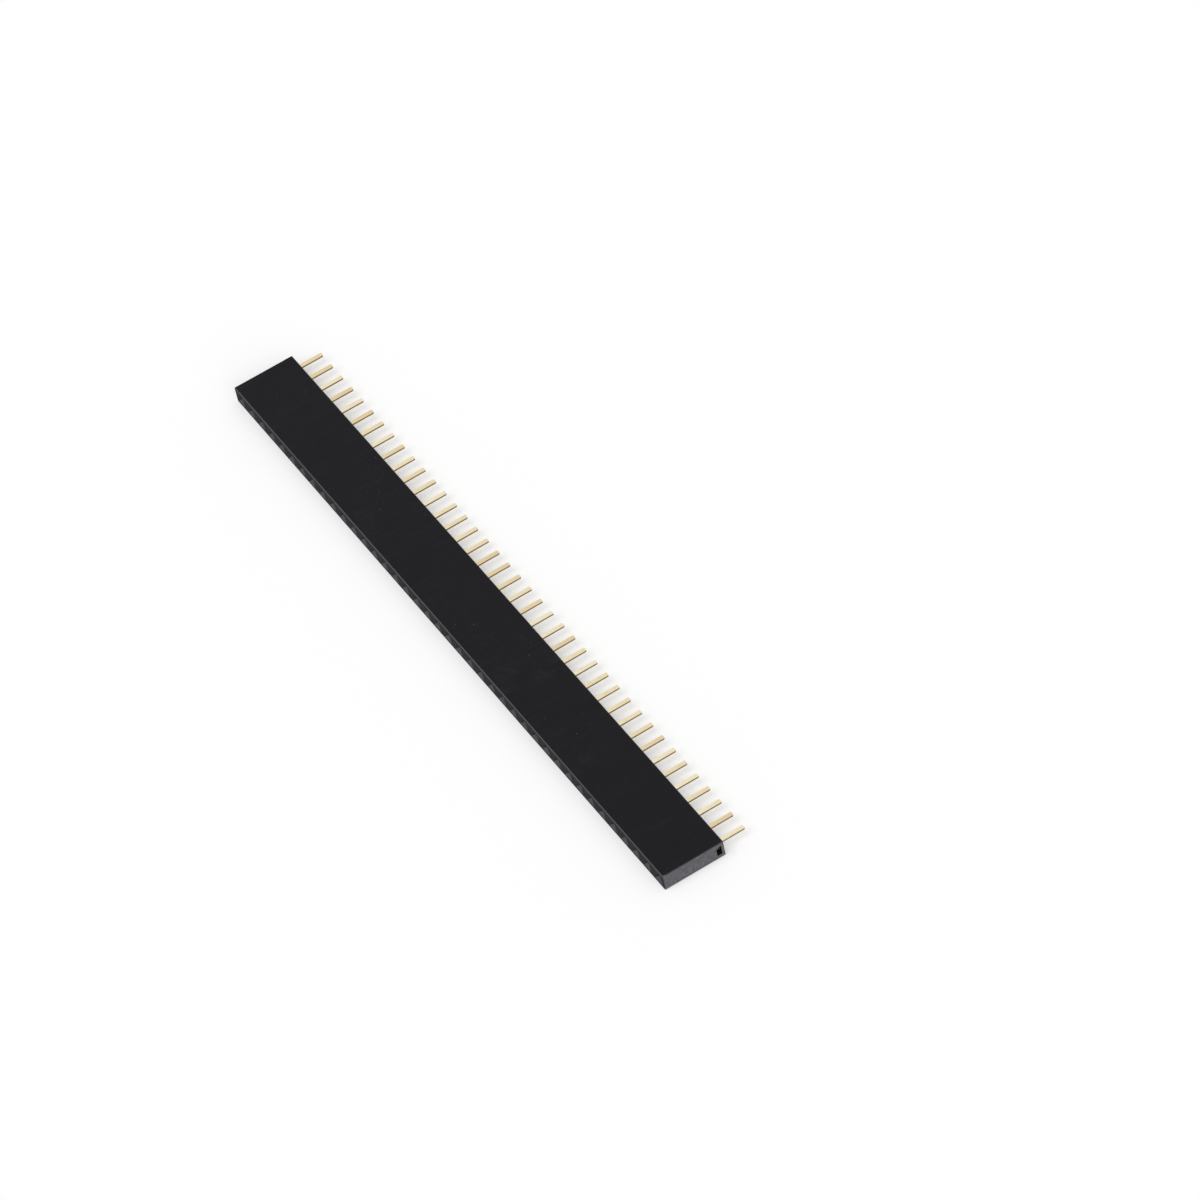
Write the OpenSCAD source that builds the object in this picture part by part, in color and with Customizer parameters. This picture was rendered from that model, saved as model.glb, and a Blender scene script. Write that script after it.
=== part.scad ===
// Female pin header strip.
// A moulded housing holds one row of square sockets. Each socket has its own contact,
// stamped and folded from one sheet: two spring leaves that grip a square pin,
// a folded box that holds the contact in the housing, and a flat solder tail.
// The strip lies on one broad side. X runs along the row, Y runs from the sockets (-Y)
// to the solder tails (+Y), and Z is up. The origin is under the middle of the strip.

/* [Row] */
// Number of sockets in the row
pins = 40; // [2:1:59]
// Distance from one socket to the next
pitch = 2.54; // [2.3:0.01:4]

/* [Housing] */
// Height of the housing, from the mating face to the board face
body_h = 8.5; // [7:0.1:14]
// Thickness of the housing, from one broad side to the other
body_t = 2.5; // [2.1:0.05:4]
// Chamfer on the outer edges of the housing
edge_break = 0.1; // [0.03:0.01:0.2]
// Width of the channel along the board face, across the thickness
channel_t = 1.36; // [1.3:0.02:1.6]
// Depth of the channel along the board face
channel_d = 1.1; // [0.9:0.05:2]
// Depth of the bar that crosses each end of the channel, from the board face
end_bar_d = 0.4; // [0.3:0.05:0.6]
// Thickness of that bar, along the row
end_bar_w = 0.35; // [0.2:0.05:0.5]

/* [Sockets] */
// Side of the square mouth where a pin is led in
mouth_w = 1.55; // [1.1:0.05:1.8]
// Depth of the tapered lead-in
lead_in_d = 0.45; // [0.2:0.05:0.8]
// Side of the square hole behind the lead-in
throat_w = 0.9; // [0.7:0.05:1]
// Depth of the front wall, lead-in and square hole together
front_wall = 1.1; // [0.9:0.05:1.6]
// Width of the chamber behind the front wall, along the row
chamber_w = 1.5; // [1.4:0.02:1.8]
// Height of the chamber, across the thickness
chamber_t = 1.24; // [1.05:0.01:1.3]

/* [Contacts] */
// Thickness of the sheet that the contacts are stamped from
sheet = 0.25; // [0.15:0.01:0.28]
// Clearance between a contact and its chamber, on each side
fit_gap = 0.03; // [0.02:0.01:0.05]
// Gap between the two leaves where they grip the pin
grip_gap = 0.45; // [0.3:0.01:0.55]
// Clearance between the front wall and the tips of the leaves
tip_gap = 0.25; // [0.1:0.05:0.6]
// Length of the flared nose of a leaf, from its tip to the grip point
nose_len = 0.8; // [0.4:0.05:1.2]
// How far the tip of a leaf flares out from the grip point
nose_flare = 0.2; // [0.05:0.01:0.24]
// Height of a leaf at its tip
tip_h = 0.55; // [0.4:0.05:0.7]
// Height of a leaf at its root
leaf_h = 0.75; // [0.7:0.05:0.9]
// Length over which the folded wall narrows to the leaf
root_len = 0.7; // [0.3:0.05:1]
// Length of the folded box with the floor
box_len = 2.5; // [1.8:0.05:3]
// Distance from the board face to the rear edge of the box's floor
box_inset = 0.45; // [0.4:0.01:0.7]
// Length of the two upright wings at the rear of the box
wing_len = 0.55; // [0.4:0.05:0.7]
// How far the wings reach past the rear edge of the floor
wing_reach = 0.3; // [0.05:0.05:0.35]
// Width of the slot between a wing and the wall in front of it
wing_slot = 0.5; // [0.15:0.01:0.6]
// Height of metal left under that slot, above the floor
slot_sill = 0.2; // [0.1:0.05:0.4]
// Outer radius of the folds along the floor
fold_r = 0.3; // [0.29:0.01:0.4]
// How far a retention barb bites into the chamber wall
barb_bite = 0.06; // [0.03:0.01:0.1]
// Length of a barb's ramp
barb_len = 0.5; // [0.3:0.05:0.7]
// Distance from the rear edge of the box to the steep back of the barb
barb_inset = 1.3; // [1.1:0.05:1.5]

/* [Solder tails] */
// Length of a tail beyond the board face
tail_len = 3.5; // [2:0.1:12]
// Width of a tail, along the row
tail_w = 0.6; // [0.4:0.02:0.8]
// Width of the joggled neck between the box and the tail
neck_w = 0.8; // [0.8:0.01:0.9]
// Distance from the board face to the end of the joggle
neck_inset = 0.05; // [0.02:0.01:0.1]
// Radius of the two corners of a tail's tip
tip_r = 0.15; // [0.05:0.01:0.19]

/* [Hidden] */

housing_colour = [0.12, 0.12, 0.135];
contact_colour = [0.87, 0.74, 0.47];

row_len = pins * pitch;
mate_y = -(body_h + tail_len) / 2;
mid_z = body_t / 2;

// How far a cutting shape runs past the face that it opens
overcut = 0.5;
// How deep one shape is sunk into its neighbour where both are one solid
weld = 0.3;
// Straight pieces in each half of a leaf's curve
leaf_steps = 8;
// Straight pieces in a rounded corner of the sheet
arc_steps = 4;
// Clearance all round a barb in the notch that it has bitten
bite_gap = 0.01;

// Places along the contact, measured inwards from the mating face
tip_y = front_wall + tip_gap;
grip_y = tip_y + nose_len;
box_end_y = body_h - box_inset;
box_start_y = box_end_y - box_len;
wing_end_y = box_end_y + wing_reach;
wing_y = wing_end_y - wing_len;
barb_y = box_end_y - barb_inset;
neck_end_y = body_h - neck_inset;
tail_end_y = body_h + tail_len;

// Places across the contact, measured from the axis of the socket
contact_half_w = chamber_w / 2 - fit_gap;
contact_half_t = chamber_t / 2 - fit_gap;
wall_x = contact_half_w - sheet / 2;
grip_x = (grip_gap + sheet) / 2;

function contact_name(i) = str("contact_", i < 10 ? "0" : "", i);

function pin_x(i) = (i - (pins + 1) / 2) * pitch;

// Points of a quarter circle from angle a0 to a0 + 90, about centre c
function corner(c, r, a0) =
    [for (k = [0 : arc_steps]) c + r * [cos(a0 + 90 * k / arc_steps), sin(a0 + 90 * k / arc_steps)]];

// Distance of a leaf's middle line from the socket's axis.
// It swings in from the folded wall to the grip point on half a cosine wave,
// and flares out again to the tip on a parabola.
function leaf_x(y) =
    y < grip_y
        ? grip_x + nose_flare * pow((grip_y - y) / nose_len, 2)
        : grip_x + (wall_x - grip_x) * (1 - cos(180 * (y - grip_y) / (box_start_y - grip_y))) / 2;

// Stations along a leaf, from its tip to its root
function leaf_stations() = concat(
    [for (k = [0 : leaf_steps - 1]) tip_y + nose_len * k / leaf_steps],
    [for (k = [0 : leaf_steps]) grip_y + (box_start_y - grip_y) * k / leaf_steps]
);

// Rectangle of size w by h about the origin with its four corners cut at 45 degrees
module chamfered_rectangle(w, h, c) {
    x = w / 2;
    y = h / 2;
    polygon([
        [c - x, -y], [x - c, -y], [x, c - y], [x, y - c],
        [x - c, y], [c - x, y], [-x, y - c], [-x, c - y]
    ]);
}

// Turns a flat shape drawn in Y and Z into a prism of width w along X, centred on X = 0
module prism_along_x(w) {
    translate([-w / 2, 0, 0])
        rotate([90, 0, 90])
            linear_extrude(w)
                children();
}

// Turns a flat shape drawn in X and Z into a prism from y0 to y1
module prism_along_y(y0, y1) {
    translate([0, y1, 0])
        rotate([90, 0, 0])
            linear_extrude(y1 - y0)
                children();
}

// Turns a flat shape drawn in X and Y into a prism of height h about Z = 0
module prism_along_z(h) {
    translate([0, 0, -h / 2])
        linear_extrude(h)
            children();
}

// The moulded block with a small chamfer on every outer edge
module block() {
    translate([0, mate_y + body_h / 2, mid_z])
        intersection() {
            prism_along_z(body_t)
                chamfered_rectangle(row_len, body_h, edge_break);
            prism_along_y(-body_h / 2, body_h / 2)
                chamfered_rectangle(row_len, body_t, edge_break);
            prism_along_x(row_len)
                chamfered_rectangle(body_h, body_t, edge_break);
        }
}

// Outline of the lead-in, straight past the face and then tapered
module lead_in_outline() {
    m = mouth_w / 2;
    t = throat_w / 2;
    polygon([[-m, -overcut], [m, -overcut], [m, 0], [t, lead_in_d], [-t, lead_in_d], [-m, 0]]);
}

// Square lead-in: the same taper seen from above and from the side
module lead_in() {
    intersection() {
        prism_along_z(mouth_w + 2 * overcut)
            lead_in_outline();
        prism_along_x(mouth_w + 2 * overcut)
            mirrored_axes() lead_in_outline();
    }
}

// Swaps the two axes of a flat shape
module mirrored_axes() {
    mirror([1, -1, 0])
        children();
}

// Outline of one barb in X and Y: a ramp that rises towards the board face and a steep back
module barb_outline(grow) {
    reach = fit_gap + barb_bite + grow;
    polygon([
        [contact_half_w - sheet / 2, barb_y - barb_len - grow],
        [contact_half_w, barb_y - barb_len - grow],
        [contact_half_w + reach, barb_y - grow],
        [contact_half_w + reach, barb_y + grow],
        [contact_half_w - sheet / 2, barb_y + grow]
    ]);
}

// Both barbs of a contact, or the notches for them when grown by a clearance
module barbs(grow) {
    prism_along_z(leaf_h + 2 * grow)
        for (side = [0, 1])
            mirror([side, 0, 0])
                barb_outline(grow);
}

// Everything that is hollow behind one mouth
module cavity() {
    lead_in();
    translate([-throat_w / 2, 0, -throat_w / 2])
        cube([throat_w, front_wall + weld, throat_w]);
    translate([-chamber_w / 2, front_wall, -chamber_t / 2])
        cube([chamber_w, body_h - front_wall + overcut, chamber_t]);
    barbs(bite_gap);
}

// The channel along the board face. A thin bar crosses it at each end of the row,
// so it shows in the end faces as a small window.
module channel() {
    inner_len = row_len - 2 * end_bar_w;
    translate([-inner_len / 2, mate_y + body_h - channel_d, mid_z - channel_t / 2])
        cube([inner_len, channel_d + overcut, channel_t]);
    translate([-row_len / 2 - overcut, mate_y + body_h - channel_d, mid_z - channel_t / 2])
        cube([row_len + 2 * overcut, channel_d - end_bar_d, channel_t]);
}

// The moulded housing
module housing() {
    color(housing_colour)
        difference() {
            block();
            channel();
            for (i = [1 : pins])
                translate([pin_x(i), mate_y, mid_z])
                    cavity();
        }
}

// Plan of one folded wall and the spring leaf in front of it
module leaf_plan() {
    outer = [for (y = leaf_stations()) [leaf_x(y) + sheet / 2, y]];
    inner = [for (y = leaf_stations()) [leaf_x(y) - sheet / 2, y]];
    count = len(inner);
    polygon(concat(
        outer,
        [[contact_half_w, wing_end_y], [contact_half_w - sheet, wing_end_y]],
        [for (k = [1 : count]) inner[count - k]]
    ));
}

// Side view of the folded walls, the wings at the rear and the leaves at the front
module side_outline() {
    t = contact_half_t;
    root_y = box_start_y - root_len;
    sill = sheet + slot_sill - t;
    wing_base = fold_r - t;
    polygon([
        [wing_end_y, wing_base],
        [box_end_y, wing_base],
        [box_end_y, -t],
        [box_start_y, -t],
        [root_y, -leaf_h / 2],
        [tip_y, -tip_h / 2],
        [tip_y, tip_h / 2],
        [root_y, leaf_h / 2],
        [box_start_y, t],
        [wing_y - wing_slot, t],
        [wing_y - wing_slot, sill],
        [wing_y, sill],
        [wing_y, t],
        [wing_end_y, t]
    ]);
}

// Section of the box's outside, round along its two lower folds
module fold_section() {
    x = contact_half_w;
    t = contact_half_t;
    polygon(concat(
        [[x, t], [-x, t]],
        corner([fold_r - x, fold_r - t], fold_r, 180),
        corner([x - fold_r, fold_r - t], fold_r, 270)
    ));
}

// The two walls with their wings and leaves, and the floor between them
module folded_box() {
    intersection() {
        union() {
            intersection() {
                prism_along_z(2 * contact_half_t)
                    for (side = [0, 1])
                        mirror([side, 0, 0])
                            leaf_plan();
                prism_along_x(chamber_w)
                    side_outline();
            }
            translate([-contact_half_w, box_start_y, -contact_half_t])
                cube([2 * contact_half_w, box_len, sheet]);
        }
        prism_along_y(0, body_h)
            fold_section();
    }
}

// Side view of the neck and the tail: the sheet steps up from the floor to the socket's axis
module tail_side() {
    low = -contact_half_t;
    rise = contact_half_t - sheet / 2;
    run = neck_end_y - box_end_y;
    // The upper side of the sheet turns a little earlier, so that its thickness stays even
    setback = sheet * tan(atan2(rise, run) / 2);
    polygon([
        [box_end_y - weld, low],
        [box_end_y, low],
        [neck_end_y, low + rise],
        [tail_end_y, low + rise],
        [tail_end_y, low + rise + sheet],
        [neck_end_y - setback, low + rise + sheet],
        [box_end_y - setback, low + sheet],
        [box_end_y - weld, low + sheet]
    ]);
}

// Plan of the neck and the tail, with a round-cornered tip
module tail_plan() {
    n = neck_w / 2;
    x = tail_w / 2;
    shoulder = n - x;
    polygon(concat(
        [
            [-x, neck_end_y],
            [-n, neck_end_y - shoulder],
            [-n, box_end_y - weld],
            [n, box_end_y - weld],
            [n, neck_end_y - shoulder],
            [x, neck_end_y]
        ],
        corner([x - tip_r, tail_end_y - tip_r], tip_r, 0),
        corner([tip_r - x, tail_end_y - tip_r], tip_r, 90)
    ));
}

// The joggled neck and the flat solder tail
module tail() {
    intersection() {
        prism_along_z(chamber_t)
            tail_plan();
        prism_along_x(chamber_w)
            tail_side();
    }
}

// One stamped and folded contact in the i-th socket
module contact(i) {
    color(contact_colour)
        translate([pin_x(i), mate_y, mid_z]) {
            folded_box();
            barbs(0);
            tail();
        }
}

housing();
for (i = [1 : pins])
    contact(i);
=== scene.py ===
"""Looks of a female pin header strip: its edges, finishes, floor, light and camera.

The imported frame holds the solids, one moulded housing and a row of folded contacts.
This script rounds their edges, dresses them in procedural finishes and sets them on a
pale studio floor, seen from the photograph's angle. Lengths are in metres where a name
says nothing else, and in millimetres inside the finishes. Colours are linear.
"""
import logging
import math
from dataclasses import dataclass, field
from enum import Enum
from typing import Optional, Union

import bpy
import numpy as np
from mathutils import Matrix, Vector


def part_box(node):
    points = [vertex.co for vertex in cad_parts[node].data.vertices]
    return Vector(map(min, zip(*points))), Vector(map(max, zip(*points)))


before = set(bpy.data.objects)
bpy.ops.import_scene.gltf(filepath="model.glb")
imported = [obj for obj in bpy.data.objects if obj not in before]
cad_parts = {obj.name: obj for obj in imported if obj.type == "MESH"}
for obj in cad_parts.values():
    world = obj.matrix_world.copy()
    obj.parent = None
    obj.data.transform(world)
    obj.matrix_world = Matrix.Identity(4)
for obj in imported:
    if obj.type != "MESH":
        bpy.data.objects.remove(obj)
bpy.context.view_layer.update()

log = logging.getLogger("pin_header_strip")

Triple = tuple[float, float, float]
Span = tuple[float, float]
Colour = Triple
Socket = bpy.types.NodeSocket
Scalar = Union[float, Socket]
Paint = Union[Colour, Socket]
Value = Union[Scalar, Paint]

METRES_TO_MM = 1000.0
WHITE: Colour = (1.0, 1.0, 1.0)


class Axis(Enum):
    """The directions of the strip, each by its place in a vector."""

    ALONG_ROW = 0
    INTO_SOCKET = 1
    THROUGH_THICKNESS = 2


class MathStep(Enum):
    """The steps of arithmetic that a finish does on its numbers."""

    ADD = "ADD"
    SUBTRACT = "SUBTRACT"
    MULTIPLY = "MULTIPLY"
    DIVIDE = "DIVIDE"
    ABSOLUTE = "ABSOLUTE"
    LARGER = "MAXIMUM"
    ROUND_DOWN = "FLOOR"


class MixKind(Enum):
    """What a mix is of.

    Each is Blender's name for it, then the sockets of the lower, the upper and the mixed value.
    """

    NUMBERS = ("FLOAT", 2, 3, 0)
    COLOURS = ("RGBA", 6, 7, 2)


@dataclass(frozen=True)
class Cloud:
    """A cloudy noise.

    It has per_mm clouds in one unit of the vector that it is read on. Finer octaves lie on
    the first: detail is their number and mess their strength. A stretch multiplies each part
    of the vector by a number of its own first, so the clouds are drawn out where it is small.
    """

    per_mm: float
    detail: float = 2.0
    mess: float = 0.5
    stretch: Optional[Triple] = None


@dataclass
class FinishGraph:
    """A thin layer over a node tree, in the words of a finish: noise, cells, blends and bumps."""

    tree: bpy.types.NodeTree

    def node(self, kind: str, **settings: object) -> bpy.types.Node:
        """Adds a node and sets its options.

        Args:
            kind: Blender's type name of the node.
            settings: Values for the node's own properties.

        Returns:
            The new node.
        """
        made = self.tree.nodes.new(kind)
        for name, value in settings.items():
            setattr(made, name, value)
        return made

    def feed(self, socket: Socket, value: Value) -> None:
        """Links a socket to another one, or writes a plain value into it.

        Args:
            socket: The input that is fed.
            value: A socket, a number or a colour without alpha.
        """
        if isinstance(value, bpy.types.NodeSocket):
            self.tree.links.new(value, socket)
        elif isinstance(value, tuple) and socket.type == "RGBA":
            socket.default_value = (*value, 1.0)
        else:
            socket.default_value = value

    def reckon(self, step: MathStep, first: Scalar, second: Scalar = 0.0) -> Socket:
        """Does one step of arithmetic.

        Args:
            step: What is done.
            first: The first number, or the only one.
            second: The second number.

        Returns:
            The result.
        """
        made = self.node("ShaderNodeMath", operation=step.value)
        self.feed(made.inputs[0], first)
        self.feed(made.inputs[1], second)
        return made.outputs["Value"]

    def product(self, *factors: Scalar) -> Socket:
        """Multiplies several numbers.

        Args:
            factors: Two numbers or more.

        Returns:
            Their product.
        """
        result = factors[0]
        for factor in factors[1:]:
            result = self.reckon(MathStep.MULTIPLY, result, factor)
        return result

    def fade(self, value: Socket, span: Span) -> Socket:
        """Turns a value into a smooth step.

        Args:
            value: The number that is mapped.
            span: Where the step is 0, and where it is 1. With the larger one first, it falls.

        Returns:
            A number from 0 to 1.
        """
        start, end = span
        made = self.node("ShaderNodeMapRange", interpolation_type="SMOOTHSTEP")
        self.feed(made.inputs["Value"], value)
        self.feed(made.inputs["From Min"], min(span))
        self.feed(made.inputs["From Max"], max(span))
        self.feed(made.inputs["To Min"], 0.0 if start < end else 1.0)
        self.feed(made.inputs["To Max"], 1.0 if start < end else 0.0)
        return made.outputs["Result"]

    def spread(self, value: Socket, span: Span) -> Socket:
        """Stretches a number from 0 to 1 over a span.

        Args:
            value: The number that is mapped.
            span: What 0 becomes, and what 1 becomes.

        Returns:
            A number in the span.
        """
        made = self.node("ShaderNodeMapRange", interpolation_type="LINEAR")
        self.feed(made.inputs["Value"], value)
        self.feed(made.inputs["To Min"], span[0])
        self.feed(made.inputs["To Max"], span[1])
        return made.outputs["Result"]

    def stretch(self, vector: Socket, factors: Triple) -> Socket:
        """Multiplies each part of a vector by a number of its own.

        Args:
            vector: The vector.
            factors: One number for each part.

        Returns:
            The new vector.
        """
        made = self.node("ShaderNodeVectorMath", operation="MULTIPLY")
        self.feed(made.inputs[0], vector)
        made.inputs[1].default_value = factors
        return made.outputs["Vector"]

    def noise(self, vector: Socket, cloud: Cloud) -> Socket:
        """Reads a cloudy noise.

        Args:
            vector: Where it is read.
            cloud: What it is like.

        Returns:
            A number from 0 to 1, mostly near 0.5.
        """
        if cloud.stretch is not None:
            vector = self.stretch(vector, cloud.stretch)
        made = self.node("ShaderNodeTexNoise")
        self.feed(made.inputs["Vector"], vector)
        self.feed(made.inputs["Scale"], cloud.per_mm)
        self.feed(made.inputs["Detail"], cloud.detail)
        self.feed(made.inputs["Roughness"], cloud.mess)
        return made.outputs["Fac"]

    def cells(self, vector: Socket, per_mm: float) -> tuple[Socket, Socket]:
        """Splits space into the cells of scattered points.

        Args:
            vector: Where the cells are read.
            per_mm: How many points there are along one unit of the vector.

        Returns:
            The distance to the nearest point, in steps from point to point, and that
            point's own random colour.
        """
        made = self.node("ShaderNodeTexVoronoi")
        self.feed(made.inputs["Vector"], vector)
        self.feed(made.inputs["Scale"], per_mm)
        return made.outputs["Distance"], made.outputs["Color"]

    def shaken(self, vector: Socket, per_mm: float, reach: float) -> Socket:
        """Pushes a vector about by a noise, so that round marks get ragged outlines.

        Args:
            vector: Where a mark is read.
            per_mm: How many clouds of the noise there are in one unit of the vector.
            reach: How far a point is pushed to either side, in the vector's units.

        Returns:
            The new vector.
        """
        noise = self.node("ShaderNodeTexNoise")
        self.feed(noise.inputs["Vector"], vector)
        self.feed(noise.inputs["Scale"], per_mm)
        push = self.node("ShaderNodeVectorMath", operation="MULTIPLY_ADD")
        self.feed(push.inputs[0], noise.outputs["Color"])
        push.inputs[1].default_value = (2.0 * reach, 2.0 * reach, 2.0 * reach)
        self.feed(push.inputs[2], vector)
        return push.outputs["Vector"]

    def parts(self, vector: Socket) -> tuple[Socket, Socket, Socket]:
        """Takes a vector or a colour apart.

        Args:
            vector: The vector.

        Returns:
            Its three parts.
        """
        made = self.node("ShaderNodeSeparateXYZ")
        self.feed(made.inputs["Vector"], vector)
        return made.outputs["X"], made.outputs["Y"], made.outputs["Z"]

    def lay_over(self, kind: MixKind, share: Scalar, under: Value, over: Value) -> Socket:
        """Lays one value over another.

        Args:
            kind: Whether the values are numbers or colours.
            share: How much of the upper value shows, from 0 to 1.
            under: The value at share 0.
            over: The value at share 1.

        Returns:
            The mixed value.
        """
        data_type, lower, upper, mixed = kind.value
        made = self.node("ShaderNodeMix", data_type=data_type)
        self.feed(made.inputs[0], share)
        self.feed(made.inputs[lower], under)
        self.feed(made.inputs[upper], over)
        return made.outputs[mixed]

    def blend(self, share: Scalar, under: Paint, over: Paint) -> Socket:
        """Returns one colour laid over another, by the share of the upper one."""
        return self.lay_over(MixKind.COLOURS, share, under, over)

    def mix(self, share: Scalar, under: Scalar, over: Scalar) -> Socket:
        """Returns one number laid over another, by the share of the upper one."""
        return self.lay_over(MixKind.NUMBERS, share, under, over)

    def relief(self, height: Socket, depth_mm: float, below: Optional[Socket] = None) -> Socket:
        """Pushes the surface's normal in and out by a height.

        Args:
            height: The height, from 0 to 1.
            depth_mm: How deep the full height is.
            below: A normal that this relief lies on.

        Returns:
            The new normal.
        """
        made = self.node("ShaderNodeBump")
        self.feed(made.inputs["Height"], height)
        self.feed(made.inputs["Distance"], depth_mm / METRES_TO_MM)
        if below is not None:
            self.feed(made.inputs["Normal"], below)
        return made.outputs["Normal"]

    def seen(self) -> Socket:
        """Tells the rays that show a thing from those that only carry its light.

        Returns:
            1 for rays from the camera, off a mirror or through glass, and 0 for others.
        """
        rays = self.node("ShaderNodeLightPath").outputs
        shown = self.reckon(MathStep.LARGER, rays["Is Camera Ray"], rays["Is Glossy Ray"])
        return self.reckon(MathStep.LARGER, shown, rays["Is Transmission Ray"])


@dataclass
class Surface:
    """Where a finish reads its place on a piece, in mm in the strip's frame, and the way it faces.

    The facing is the normal with the signs taken off. Its part along an axis says whether
    that axis is faced squarely, and its largest part says whether the surface stands askew.
    """

    graph: FinishGraph
    place: Socket = field(init=False)
    facing: tuple[Socket, Socket, Socket] = field(init=False)
    rise: Socket = field(init=False)
    squarely: Span = (0.85, 0.95)
    askew: Span = (0.985, 0.9)

    def __post_init__(self) -> None:
        """Adds the nodes that give the place, the facing and how far a surface looks up."""
        coordinates = self.graph.node("ShaderNodeTexCoord")
        in_mm = (METRES_TO_MM, METRES_TO_MM, METRES_TO_MM)
        self.place = self.graph.stretch(coordinates.outputs["Object"], in_mm)
        geometry = self.graph.node("ShaderNodeNewGeometry")
        size = self.graph.node("ShaderNodeVectorMath", operation="ABSOLUTE")
        self.graph.feed(size.inputs[0], geometry.outputs["True Normal"])
        self.facing = self.graph.parts(size.outputs["Vector"])
        self.rise = self.graph.parts(geometry.outputs["True Normal"])[Axis.THROUGH_THICKNESS.value]

    def faces(self, axis: Axis) -> Socket:
        """Returns 1 where the surface faces along an axis, either way, and 0 elsewhere."""
        return self.graph.fade(self.facing[axis.value], self.squarely)

    def on_edge(self) -> Socket:
        """Finds the chamfers and the rounded edges, where no axis is faced squarely.

        Returns:
            1 on them, and 0 elsewhere.
        """
        x, y, z = self.facing
        most = self.graph.reckon(MathStep.LARGER, self.graph.reckon(MathStep.LARGER, x, y), z)
        return self.graph.fade(most, self.askew)

    def distance_from_middle(self, axis: Axis) -> Socket:
        """Returns how far a point is from the middle of the row's frame along one axis, in mm."""
        part = self.graph.parts(self.place)[axis.value]
        return self.graph.reckon(MathStep.ABSOLUTE, part)


@dataclass(frozen=True)
class Hairlines:
    """A few short curved scratches: arcs of rings about scattered points.

    Every cell of a coarse pattern has a ring of its own radius. A slow noise keeps only
    one arc of a ring, and the cell's own colour keeps only some of the rings. The radius
    and the line are in steps from point to point.
    """

    per_mm: float = 0.16
    radius: Span = (0.18, 0.42)
    line: Span = (0.0065, 0.0025)
    slow: Cloud = Cloud(per_mm=0.33, detail=1.0)
    arc: Span = (0.53, 0.60)
    kept: Span = (0.45, 0.55)
    strength: Span = (0.15, 0.5)

    def mask(self, graph: FinishGraph, place: Socket) -> Socket:
        """Draws the scratches.

        Args:
            graph: The finish's graph.
            place: Where they are read, in mm.

        Returns:
            How strongly a scratch shows, from 0 to 1.
        """
        distance, tint = graph.cells(place, self.per_mm)
        radius, kept, strength = graph.parts(tint)
        off_ring = graph.reckon(MathStep.SUBTRACT, distance, graph.spread(radius, self.radius))
        line = graph.fade(graph.reckon(MathStep.ABSOLUTE, off_ring), self.line)
        arc = graph.fade(graph.noise(place, self.slow), self.arc)
        kept = graph.fade(kept, self.kept)
        return graph.product(line, arc, kept, graph.spread(strength, self.strength))


@dataclass(frozen=True)
class SpeckLayer:
    """One layer of round specks, each of its own size, in steps from point to point, and strength."""

    per_mm: float
    size: Span
    rim: Span = (1.0, 0.45)
    strength: Span = (0.15, 0.75)
    kept: Span = (0.4, 0.5)

    def mask(self, graph: FinishGraph, place: Socket) -> Socket:
        """Draws the specks.

        Args:
            graph: The finish's graph.
            place: Where they are read, in mm.

        Returns:
            How strongly a speck shows, from 0 to 1.
        """
        distance, tint = graph.cells(place, self.per_mm)
        size, strength, kept = graph.parts(tint)
        reach = graph.reckon(MathStep.DIVIDE, distance, graph.spread(size, self.size))
        strength = graph.spread(strength, self.strength)
        return graph.product(graph.fade(reach, self.rim), strength, graph.fade(kept, self.kept))


@dataclass(frozen=True)
class Dust:
    """Pale dust: large specks all over, and fine ones where a slow noise lets them settle."""

    large: SpeckLayer = SpeckLayer(per_mm=0.55, size=(0.02, 0.085))
    fine: SpeckLayer = SpeckLayer(per_mm=1.4, size=(0.01, 0.13))
    slow: Cloud = Cloud(per_mm=0.13)
    settled: Span = (0.50, 0.62)

    def mask(self, graph: FinishGraph, place: Socket) -> Socket:
        """Draws the dust.

        Args:
            graph: The finish's graph.
            place: Where it is read, in mm.

        Returns:
            How strongly a speck shows, from 0 to 1.
        """
        large = self.large.mask(graph, place)
        settled = graph.fade(graph.noise(place, self.slow), self.settled)
        fine = self.fine.mask(graph, place)
        return graph.reckon(MathStep.LARGER, large, graph.product(fine, settled))


@dataclass(frozen=True)
class Pits:
    """Small dark pits torn into a cut end, each of its own size, in steps from point to point."""

    per_mm: float = 1.25
    shake_per_mm: float = 3.2
    shake_mm: float = 0.10
    size: Span = (0.07, 0.2)
    rim: Span = (1.0, 0.6)
    kept: Span = (0.55, 0.62)

    def mask(self, graph: FinishGraph, place: Socket) -> Socket:
        """Draws the pits.

        Args:
            graph: The finish's graph.
            place: Where they are read, in mm.

        Returns:
            How strongly a pit shows, from 0 to 1.
        """
        ragged = graph.shaken(place, self.shake_per_mm, self.shake_mm)
        distance, tint = graph.cells(ragged, self.per_mm)
        size, kept, _ = graph.parts(tint)
        reach = graph.reckon(MathStep.DIVIDE, distance, graph.spread(size, self.size))
        return graph.product(graph.fade(reach, self.rim), graph.fade(kept, self.kept))


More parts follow.
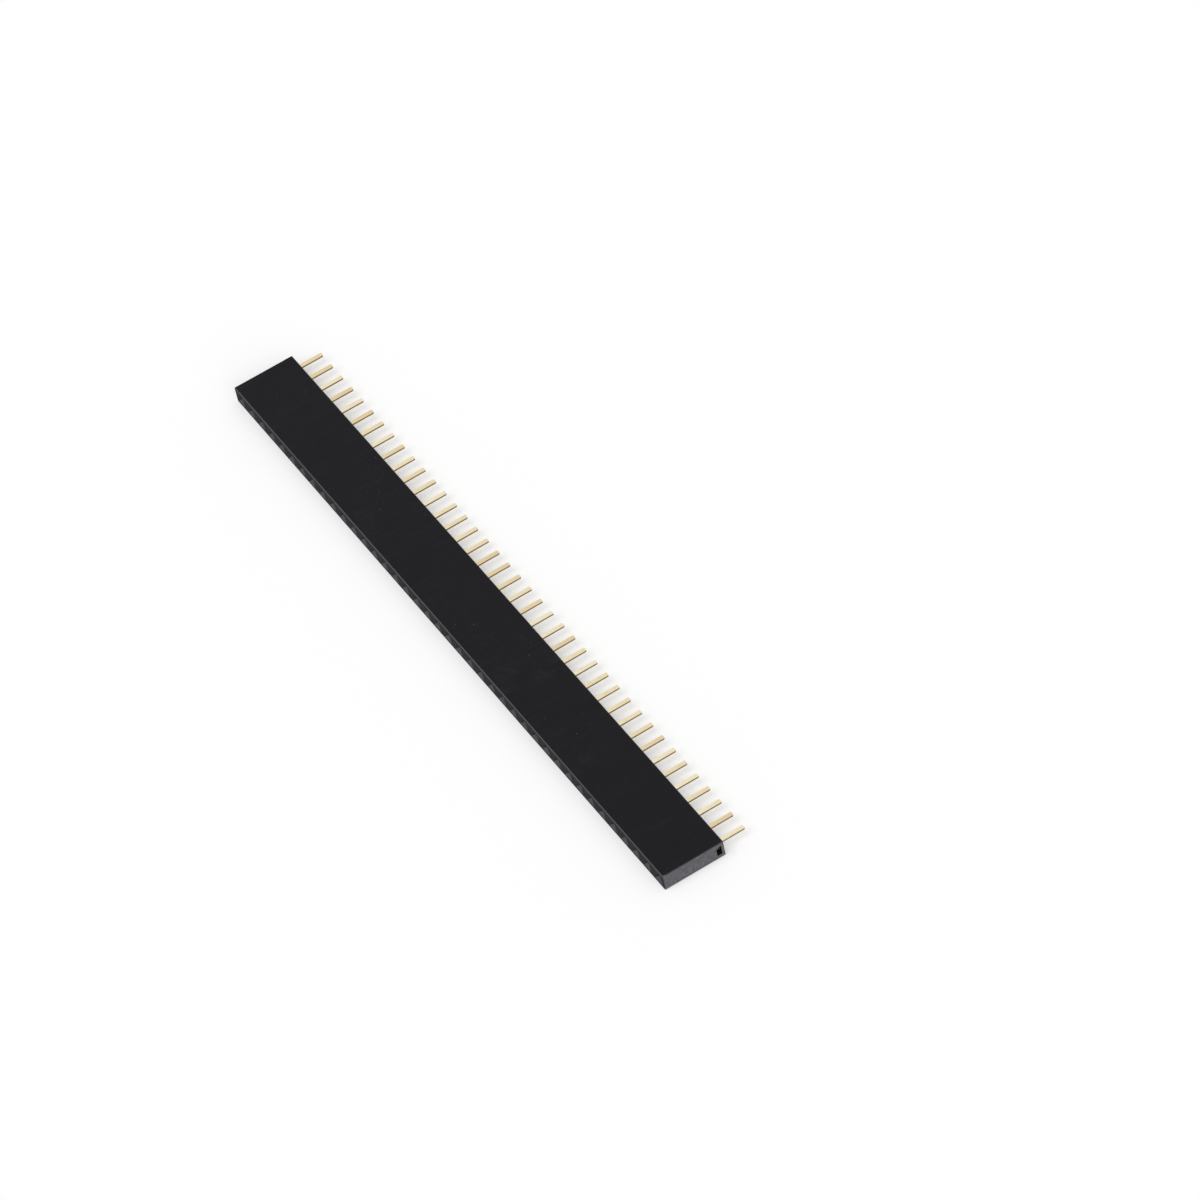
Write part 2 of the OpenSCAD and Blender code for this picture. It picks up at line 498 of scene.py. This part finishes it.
@dataclass(frozen=True)
class MouldedPlastic:
    """Black glass-filled moulding: satin skin with flow streaks, scuffs and specks, painted highlights
    on its edges and lead-in slopes, and grey cut ends whose lighter grey is partly painted light.

    A span gives where a mark begins and where it is full. For wear, dust and roughness it
    gives the least and the most.
    """

    name: str = "moulded_plastic"
    skin: Colour = (0.0046, 0.0043, 0.0062)
    streak: Colour = (0.0078, 0.0074, 0.0100)
    smudge: Colour = (0.0200, 0.0200, 0.0230)
    # Pale grey of scratches and worn edges, which on the edges is also a painted highlight.
    wear_and_glint: Colour = (0.0520, 0.0520, 0.0580)
    # Painted highlight: the lighter grey of the up-facing lead-in slopes, as if lit.
    lit_slope_grey: Colour = (0.1150, 0.1130, 0.1250)
    # Grey of the sawn ends: real cut texture, made lighter as painted light on the lit end faces.
    cut_and_lit_grey: Colour = (0.1150, 0.1110, 0.1240)
    cut_fibre_and_lit_grey: Colour = (0.1750, 0.1690, 0.1850)
    pit: Colour = (0.0140, 0.0140, 0.0150)
    speck: Colour = (0.1600, 0.1600, 0.1700)

    # The patterns that the marks are read from.
    grain: Cloud = Cloud(per_mm=5.5, detail=5.0, mess=0.62)
    flow: Cloud = Cloud(per_mm=1.0, detail=4.0, mess=0.6, stretch=(2.6, 0.16, 0.9))
    handled: Cloud = Cloud(per_mm=0.11, detail=3.0, mess=0.55)
    scuffs: Cloud = Cloud(per_mm=0.55, detail=4.0, mess=0.7)
    mottle: Cloud = Cloud(per_mm=2.3, detail=5.0, mess=0.65)
    saw_marks: Cloud = Cloud(per_mm=1.0, stretch=(0.3, 9.0, 0.5))
    hairlines: Hairlines = Hairlines()
    dust: Dust = Dust()
    pits: Pits = Pits()

    # How far and how strongly the marks show in the colour.
    streaked: Span = (0.42, 0.78)
    handled_part: Span = (0.5, 0.72)
    scuffed_part: Span = (0.45, 0.75)
    smudge_share: float = 0.55
    edge_wear_and_glint: Span = (0.25, 1.0)
    lit_slope_spread: Span = (0.55, 1.0)
    fibrous: Span = (0.35, 0.72)

    # Gloss of the skin, of the long narrow sides and of the cut ends.
    skin_roughness: float = 0.43
    flank_roughness: float = 0.55
    cut_roughness: float = 0.72
    grain_roughness: Span = (-0.05, 0.07)
    rubbed_roughness: float = 0.12
    gloss_level: float = 0.12
    flank_gloss_level: float = 0.05

    # Depth of the relief.
    grain_depth_mm: float = 0.006
    flow_depth_mm: float = 0.010
    torn_depth_mm: float = 0.030

    # Where the lead-in slopes and the cut ends are found. The core is a part of the lead-in.
    looks_up: Span = (0.2, 0.5)
    lead_in_mm: float = 0.5
    lead_in_core: float = 0.8
    end_zone_mm: float = 0.16

    def make(self, half_row_mm: float, mating_mm: float) -> bpy.types.Material:
        """Builds the finish.

        Args:
            half_row_mm: Distance from the middle of the strip to a cut end.
            mating_mm: Where the mating face is, along the sockets.

        Returns:
            The material, for the housing.
        """
        material, graph, shader = new_material(self.name)
        surface = Surface(graph)
        place = surface.place
        grain = graph.noise(place, self.grain)
        flow = graph.noise(place, self.flow)
        rubbed = graph.product(
            graph.fade(graph.noise(place, self.handled), self.handled_part),
            graph.fade(graph.noise(place, self.scuffs), self.scuffed_part),
        )

        colour = graph.blend(graph.fade(flow, self.streaked), self.skin, self.streak)
        colour = graph.blend(graph.product(rubbed, self.smudge_share), colour, self.smudge)
        colour = graph.blend(self.hairlines.mask(graph, place), colour, self.wear_and_glint)
        colour = graph.blend(self.dust.mask(graph, place), colour, self.speck)
        # Edges: partly real wear, partly a painted highlight where the chamfers would catch the light.
        edge = graph.product(surface.on_edge(), graph.spread(grain, self.edge_wear_and_glint))
        colour = graph.blend(edge, colour, self.wear_and_glint)
        # Painted highlight: the up-facing lead-in slopes are painted a lighter grey, as if lit from
        # the front.
        slope = self.lead_in_slopes(graph, surface, mating_mm)
        slope = graph.product(slope, graph.spread(grain, self.lit_slope_spread))
        colour = graph.blend(slope, colour, self.lit_slope_grey)

        # Cut ends: sawn mottle and pits, in a grey lighter than the skin that partly paints in the
        # light they catch.
        end = self.cut_end(graph, surface, half_row_mm)
        mottle = graph.noise(place, self.mottle)
        cut_face_and_light = graph.blend(graph.fade(mottle, self.fibrous), self.cut_and_lit_grey, self.cut_fibre_and_lit_grey)
        cut_face_and_light = graph.blend(self.pits.mask(graph, place), cut_face_and_light, self.pit)
        colour = graph.blend(end, colour, cut_face_and_light)

        flank = surface.faces(Axis.INTO_SOCKET)
        roughness = graph.mix(flank, self.skin_roughness, self.flank_roughness)
        roughness = graph.reckon(MathStep.ADD, roughness, graph.spread(grain, self.grain_roughness))
        rubbed_more = graph.product(rubbed, self.rubbed_roughness)
        roughness = graph.reckon(MathStep.ADD, roughness, rubbed_more)
        roughness = graph.mix(end, roughness, self.cut_roughness)

        relief = graph.relief(grain, self.grain_depth_mm)
        relief = graph.relief(flow, self.flow_depth_mm, below=relief)
        torn = graph.reckon(MathStep.ADD, mottle, graph.noise(place, self.saw_marks))
        relief = graph.relief(graph.product(end, torn), self.torn_depth_mm, below=relief)

        graph.feed(shader.inputs["Base Color"], colour)
        graph.feed(shader.inputs["Roughness"], roughness)
        graph.feed(shader.inputs["Normal"], relief)
        gloss = graph.mix(flank, self.gloss_level, self.flank_gloss_level)
        graph.feed(shader.inputs["Specular IOR Level"], gloss)
        return material

    def lead_in_slopes(self, graph: FinishGraph, surface: Surface, mating_mm: float) -> Socket:
        """Finds the slopes at the mating face that look up, which get a painted highlight.

        Args:
            graph: The finish's graph.
            surface: Where it is read.
            mating_mm: Where the mating face is, along the sockets.

        Returns:
            1 on those slopes, and 0 elsewhere.
        """
        y = graph.parts(surface.place)[Axis.INTO_SOCKET.value]
        core = self.lead_in_core * self.lead_in_mm
        at_mouth = graph.fade(y, (mating_mm + self.lead_in_mm, mating_mm + core))
        return graph.product(surface.on_edge(), graph.fade(surface.rise, self.looks_up), at_mouth)

    def cut_end(self, graph: FinishGraph, surface: Surface, half_row_mm: float) -> Socket:
        """Finds the two outermost faces of the row, which the saw left.

        Args:
            graph: The finish's graph.
            surface: Where it is read.
            half_row_mm: Distance from the middle of the strip to a cut end.

        Returns:
            1 on those faces, and 0 elsewhere.
        """
        outward_facing = surface.faces(Axis.ALONG_ROW)
        reach = surface.distance_from_middle(Axis.ALONG_ROW)
        zone = (half_row_mm - self.end_zone_mm, half_row_mm - self.end_zone_mm / 2)
        return graph.product(outward_facing, graph.fade(reach, zone))


@dataclass(frozen=True)
class GoldPlating:
    """Thin bright gold on rolled sheet, with fine rolling lines and bare sheared edges.

    A span gives where a mark begins and where it is full. For roughness and for the
    wandering line it gives the least and the most.
    """

    name: str = "gold_plating"
    plate: Colour = (0.790, 0.685, 0.450)
    plate_pale: Colour = (0.850, 0.765, 0.560)
    plate_deep: Colour = (0.700, 0.540, 0.310)
    sheared: Colour = (0.360, 0.235, 0.085)
    torn: Colour = (0.210, 0.130, 0.050)

    # The patterns that the marks are read from.
    rolling: Cloud = Cloud(per_mm=1.0, detail=3.0, mess=0.6, stretch=(14.0, 0.7, 14.0))
    stains: Cloud = Cloud(per_mm=0.9, detail=3.0)
    plating_grain: Cloud = Cloud(per_mm=7.0, detail=3.0)

    # How far and how strongly the tones and stains show in the colour.
    pale_batch: Span = (0.35, 1.0)
    deep_batch: Span = (0.3, 0.0)
    deep_share: float = 0.6
    stained: Span = (0.55, 0.8)
    stain_share: float = 0.5

    # Gloss and depth of the relief.
    plate_roughness: float = 0.26
    rolling_roughness: Span = (-0.08, 0.10)
    sheared_roughness: float = 0.48
    rolling_depth_mm: float = 0.0025
    plating_depth_mm: float = 0.0008

    # Where the contacts and their cut edges are found. The wings are told from the tails by
    # their height off the sheet's middle, full at wing_full times half_sheet_mm. The root is
    # measured back from the housing's board face.
    pitch_mm: float = 2.54
    narrow_side: Span = (0.72, 0.5)
    tail_root_mm: Span = (0.4, 0.2)
    fracture_mm: Span = (0.02, -0.05)
    fracture_wander_mm: Span = (-0.06, 0.06)
    half_sheet_mm: float = 0.14
    wing_full: float = 1.4

    def make(self, tail_start_mm: float, tail_z_mm: float) -> bpy.types.Material:
        """Builds the finish.

        Args:
            tail_start_mm: Where the solder tails leave the housing.
            tail_z_mm: Height of the middle of a tail's sheet.

        Returns:
            The material, for every contact.
        """
        material, graph, shader = new_material(self.name)
        surface = Surface(graph)
        place = surface.place
        x, y, z = graph.parts(place)
        batch = self.tone_of_each(graph, x)
        rolling = graph.noise(place, self.rolling)
        stains = graph.noise(place, self.stains)

        colour = graph.blend(graph.fade(batch, self.pale_batch), self.plate, self.plate_pale)
        deep = graph.product(graph.fade(batch, self.deep_batch), self.deep_share)
        colour = graph.blend(deep, colour, self.plate_deep)
        stained = graph.product(graph.fade(stains, self.stained), self.stain_share)
        colour = graph.blend(stained, colour, self.plate_deep)

        edge = self.sheared_edge(graph, surface, y, tail_start_mm)
        across = graph.reckon(MathStep.SUBTRACT, z, tail_z_mm)
        fracture = self.fracture(graph, across, stains)
        bare = graph.blend(fracture, self.sheared, self.torn)
        colour = graph.blend(edge, colour, bare)

        swing = graph.spread(rolling, self.rolling_roughness)
        roughness = graph.reckon(MathStep.ADD, self.plate_roughness, swing)
        roughness = graph.mix(edge, roughness, self.sheared_roughness)
        relief = graph.relief(rolling, self.rolling_depth_mm)
        plating = graph.noise(place, self.plating_grain)
        relief = graph.relief(plating, self.plating_depth_mm, below=relief)

        graph.feed(shader.inputs["Base Color"], colour)
        graph.feed(shader.inputs["Roughness"], roughness)
        graph.feed(shader.inputs["Normal"], relief)
        shader.inputs["Metallic"].default_value = 1.0
        return material

    def tone_of_each(self, graph: FinishGraph, x: Socket) -> Socket:
        """Gives each contact a tone of its own, from the number of its place in the row.

        Args:
            graph: The finish's graph.
            x: Place along the row, in mm.

        Returns:
            A random number from 0 to 1 that is the same all over one contact.
        """
        number = graph.reckon(MathStep.ROUND_DOWN, graph.reckon(MathStep.DIVIDE, x, self.pitch_mm))
        made = graph.node("ShaderNodeTexWhiteNoise", noise_dimensions="1D")
        graph.feed(made.inputs["W"], number)
        return made.outputs["Value"]

    def sheared_edge(self, graph: FinishGraph, surface: Surface, y: Socket, start_mm: float) -> Socket:
        """Finds the narrow sides and the tip of a solder tail, where the sheet was cut.

        Args:
            graph: The finish's graph.
            surface: Where it is read.
            y: Place along the sockets, in mm.
            start_mm: Where the tails leave the housing.

        Returns:
            1 on those sides, and 0 elsewhere.
        """
        side = graph.fade(surface.facing[Axis.THROUGH_THICKNESS.value], self.narrow_side)
        none, full = self.tail_root_mm
        return graph.product(side, graph.fade(y, (start_mm - none, start_mm - full)))

    def fracture(self, graph: FinishGraph, across: Socket, stains: Socket) -> Socket:
        """Splits a cut edge of the sheet into its smooth upper part and its torn lower part.

        The line between them wanders with the noise. The wings stand beyond the sheet's
        own thickness, and their cut edges are torn all over.

        Args:
            graph: The finish's graph.
            across: Place across the sheet from its middle, in mm.
            stains: The noise that the line wanders with.

        Returns:
            1 where the edge is torn, and 0 where it is smooth.
        """
        uneven = graph.reckon(MathStep.ADD, across, graph.spread(stains, self.fracture_wander_mm))
        torn = graph.fade(uneven, self.fracture_mm)
        wing = (self.half_sheet_mm, self.wing_full * self.half_sheet_mm)
        on_wing = graph.fade(graph.reckon(MathStep.ABSOLUTE, across), wing)
        return graph.reckon(MathStep.LARGER, torn, on_wing)


@dataclass(frozen=True)
class StudioFloorFinish:
    """Matte white that shows as white to the camera and keeps soft shadows."""

    name: str = "studio_floor"
    white: Colour = (0.80, 0.80, 0.80)
    roughness: float = 0.9
    gloss_level: float = 0.0
    lift: float = 0.30

    def make(self) -> bpy.types.Material:
        """Builds the finish: a diffuse white, and a lift that lights nothing.

        Returns:
            The material, for the floor.
        """
        material, graph, shader = new_material(self.name)
        graph.feed(shader.inputs["Base Color"], self.white)
        graph.feed(shader.inputs["Roughness"], self.roughness)
        graph.feed(shader.inputs["Specular IOR Level"], self.gloss_level)
        graph.feed(shader.inputs["Emission Color"], WHITE)
        graph.feed(shader.inputs["Emission Strength"], graph.product(graph.seen(), self.lift))
        return material


def new_material(name: str) -> tuple[bpy.types.Material, FinishGraph, bpy.types.Node]:
    """Makes an empty material.

    Args:
        name: The material's name.

    Returns:
        The material, the graph of its nodes and its main shader.
    """
    material = bpy.data.materials.new(name)
    material.use_nodes = True
    material.node_tree.nodes.clear()
    graph = FinishGraph(material.node_tree)
    shader = graph.node("ShaderNodeBsdfPrincipled")
    output = graph.node("ShaderNodeOutputMaterial")
    graph.feed(output.inputs["Surface"], shader.outputs["BSDF"])
    return material, graph, shader


@dataclass(frozen=True)
class RoundedEdges:
    """How a solid's sharp edges are softened, as moulding and tumbling leave them."""

    radius: float
    segments: int = 2
    sharp_angle: float = math.radians(32.0)
    merge_gap: float = 1e-7

    def soften(self, piece: bpy.types.Object) -> None:
        """Adds two modifiers: one joins the loose triangles, and one rounds the sharp edges.

        Args:
            piece: A solid whose mesh stays as it is.
        """
        weld = piece.modifiers.new("joined_corners", "WELD")
        weld.merge_threshold = self.merge_gap
        bevel = piece.modifiers.new("rounded_edges", "BEVEL")
        bevel.width = self.radius
        bevel.segments = self.segments
        bevel.limit_method = "ANGLE"
        bevel.angle_limit = self.sharp_angle
        bevel.use_clamp_overlap = True


def put_on(piece: bpy.types.Object, material: bpy.types.Material) -> None:
    """Puts one material on all of a piece's faces.

    Args:
        piece: The piece that is dressed.
        material: Its new material.
    """
    for slot in piece.material_slots:
        slot.material = material


@dataclass
class Housing:
    """The moulded housing that holds the row of sockets."""

    node: str = "housing"
    finish: MouldedPlastic = MouldedPlastic()
    edges: RoundedEdges = RoundedEdges(radius=0.00003)

    def dress(self) -> bpy.types.Object:
        """Softens the housing's edges and gives it its plastic.

        Returns:
            The housing's object.
        """
        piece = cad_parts[self.node]
        lowest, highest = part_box(self.node)
        self.edges.soften(piece)
        put_on(piece, self.finish.make(highest.x * METRES_TO_MM, lowest.y * METRES_TO_MM))
        return piece


@dataclass
class ContactRow:
    """The folded contacts, each with its spring leaves in a socket and its tail outside."""

    prefix: str = "contact_"
    housing_node: str = "housing"
    finish: GoldPlating = GoldPlating()
    edges: RoundedEdges = RoundedEdges(radius=0.00002)

    def dress(self) -> list[bpy.types.Object]:
        """Softens the contacts' edges and plates them.

        Returns:
            The contacts' objects, from one end of the row to the other.
        """
        lowest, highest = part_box(self.housing_node)
        middle = (lowest.z + highest.z) / 2
        plating = self.finish.make(highest.y * METRES_TO_MM, middle * METRES_TO_MM)
        names = sorted(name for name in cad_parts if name.startswith(self.prefix))
        pieces = [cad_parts[name] for name in names]
        for piece in pieces:
            self.edges.soften(piece)
            put_on(piece, plating)
        return pieces


@dataclass(frozen=True)
class StudioFloor:
    """A wide round floor under the strip."""

    name: str = "studio_floor"
    radius: float = 6.0
    rings: int = 24
    spokes: int = 64
    drop: float = 0.00001
    finish: StudioFloorFinish = StudioFloorFinish()

    def points(self) -> np.ndarray:
        """Works out the disc's points.

        A point is found from two parameters: u from 0 at the rim to 1 at the middle, and an
        angle. Its distance from the middle is the radius times the square of 1 - u, so the
        rings close up under the strip. The middle itself is the last point.

        Returns:
            One row of x, y and z for each point, ring after ring from the rim.
        """
        u = np.linspace(0.0, 1.0, self.rings, endpoint=False)
        angle = np.linspace(0.0, 2 * math.pi, self.spokes, endpoint=False)
        reach = self.radius * (1.0 - u[:, None]) ** 2
        x = reach * np.cos(angle)
        y = reach * np.sin(angle)
        rings = np.stack([x, y, np.zeros_like(x)], axis=-1).reshape(-1, 3)
        return np.vstack([rings, [[0.0, 0.0, 0.0]]]) - [0.0, 0.0, self.drop]

    def faces(self) -> list[list[int]]:
        """Joins the points: four-sided faces from ring to ring, and a fan round the middle.

        Returns:
            The points of each face, by their numbers, so that it looks up.
        """
        ring, spoke = np.meshgrid(np.arange(self.rings - 1), np.arange(self.spokes), indexing="ij")
        following = (spoke + 1) % self.spokes
        outer, inner = ring * self.spokes, (ring + 1) * self.spokes
        quads = np.stack([outer + spoke, outer + following, inner + following, inner + spoke], axis=-1)
        last = (self.rings - 1) * self.spokes
        turn = np.arange(self.spokes)
        middle = np.full(self.spokes, self.rings * self.spokes)
        fan = np.stack([last + turn, last + (turn + 1) % self.spokes, middle], axis=-1)
        return quads.reshape(-1, 4).tolist() + fan.tolist()

    def lay(self) -> bpy.types.Object:
        """Builds the floor.

        Returns:
            The floor's object, just below the strip.
        """
        mesh = bpy.data.meshes.new(self.name)
        mesh.from_pydata(self.points().tolist(), [], self.faces())
        floor = bpy.data.objects.new(self.name, mesh)
        bpy.context.scene.collection.objects.link(floor)
        mesh.materials.append(self.finish.make())
        return floor


def outward(azimuth: float, elevation: float) -> Vector:
    """Finds the direction from the strip to a point round it.

    Args:
        azimuth: Angle round the strip in degrees: 0 in front of the sockets, 90 at the +X end.
        elevation: Angle above the floor in degrees.

    Returns:
        The direction, one metre long.
    """
    turn, rise = math.radians(azimuth), math.radians(elevation)
    flat = math.cos(rise)
    return Vector((math.sin(turn) * flat, -math.cos(turn) * flat, math.sin(rise)))


@dataclass(frozen=True)
class SoftLamp:
    """A far, wide and even light, given by where it stands. Angles are in degrees.

    The white room alone shows in the gloss, so a lamp stays out of the mirrors and
    burns nothing out.
    """

    name: str
    azimuth: float
    elevation: float
    strength: float
    width: float
    in_mirrors: bool = False

    def hang(self) -> bpy.types.Object:
        """Builds the lamp.

        Returns:
            The lamp's object, turned towards the strip.
        """
        light = bpy.data.lights.new(self.name, "SUN")
        light.energy = self.strength
        light.angle = math.radians(self.width)
        lamp = bpy.data.objects.new(self.name, light)
        bpy.context.scene.collection.objects.link(lamp)
        lamp.visible_glossy = self.in_mirrors
        inward = -outward(self.azimuth, self.elevation)
        lamp.rotation_euler = inward.to_track_quat("-Z", "Y").to_euler()
        return lamp


@dataclass(frozen=True)
class StudioRoom:
    """A room that lights the scene from all round at one strength and shows white behind it.

    The first number is how strongly it lights, and the second how bright it is when seen.
    """

    name: str = "studio_room"
    light: float = 0.42
    seen: float = 1.0

    def fill(self) -> bpy.types.World:
        """Builds the world.

        Returns:
            The world, which is the scene's own.
        """
        world = bpy.data.worlds.new(self.name)
        world.use_nodes = True
        world.node_tree.nodes.clear()
        graph = FinishGraph(world.node_tree)
        background = graph.node("ShaderNodeBackground")
        graph.feed(background.inputs["Color"], WHITE)
        graph.feed(background.inputs["Strength"], graph.mix(graph.seen(), self.light, self.seen))
        output = graph.node("ShaderNodeOutputWorld")
        graph.feed(output.inputs["Surface"], background.outputs["Background"])
        bpy.context.scene.world = world
        return world


@dataclass
class Studio:
    """Floor, lamps and the light of the room."""

    floor: StudioFloor = StudioFloor()
    lamps: tuple[SoftLamp, ...] = (
        SoftLamp("overhead_softbox", azimuth=10.0, elevation=62.0, strength=1.10, width=50.0),
        SoftLamp("front_softbox", azimuth=85.0, elevation=30.0, strength=0.90, width=50.0),
    )
    room: StudioRoom = StudioRoom()

    def set_up(self) -> list[bpy.types.Object]:
        """Builds the floor, the lamps and the world.

        Returns:
            The floor and the lamps.
        """
        made = [self.floor.lay(), *(lamp.hang() for lamp in self.lamps)]
        self.room.fill()
        return made


@dataclass(frozen=True)
class PhotographCamera:
    """The camera, solved from the strip's corners and tails in the 1200 by 1200 photograph.

    Angles are in degrees. The aim is the point that it looks at.
    """

    name: str = "photograph_camera"
    azimuth: float = 67.9
    elevation: float = 47.5
    roll: float = -13.2
    distance: float = 0.868
    aim: Triple = (0.0073, 0.0120, 0.0)
    frame_px: float = 1200.0
    focal_px: float = 7172.0
    sensor_mm: float = 36.0
    nearest: float = 0.01
    farthest: float = 100.0

    def place(self) -> bpy.types.Object:
        """Builds the camera and makes it the scene's own.

        Returns:
            The camera's object.
        """
        data = bpy.data.cameras.new(self.name)
        data.sensor_width = self.sensor_mm
        data.lens = self.sensor_mm * self.focal_px / self.frame_px
        data.clip_start = self.nearest
        data.clip_end = self.farthest
        back = outward(self.azimuth, self.elevation)
        right = (-back).cross(Vector((0.0, 0.0, 1.0))).normalized()
        up = right.cross(-back)
        upright = Matrix((right, up, back)).transposed()
        turned = upright @ Matrix.Rotation(math.radians(self.roll), 3, "Z")
        stand = Matrix.Translation(Vector(self.aim) + back * self.distance)
        camera = bpy.data.objects.new(self.name, data)
        camera.matrix_world = stand @ turned.to_4x4()
        bpy.context.scene.collection.objects.link(camera)
        bpy.context.scene.camera = camera
        return camera


def main() -> None:
    """Dresses the strip, sets up the studio and places the camera."""
    logging.basicConfig(level=logging.INFO, format="%(name)s: %(message)s")
    bpy.context.scene.view_settings.view_transform = "Standard"

    housing = Housing().dress()
    log.info("housing dressed: %s", housing.name)
    contacts = ContactRow().dress()
    log.info("contacts dressed: %d, from %s to %s", len(contacts), contacts[0].name, contacts[-1].name)

    for thing in Studio().set_up():
        log.info("studio set up: %s", thing.name)
    camera = PhotographCamera().place()
    log.info("camera placed: %s", camera.name)


if __name__ == "__main__":
    main()
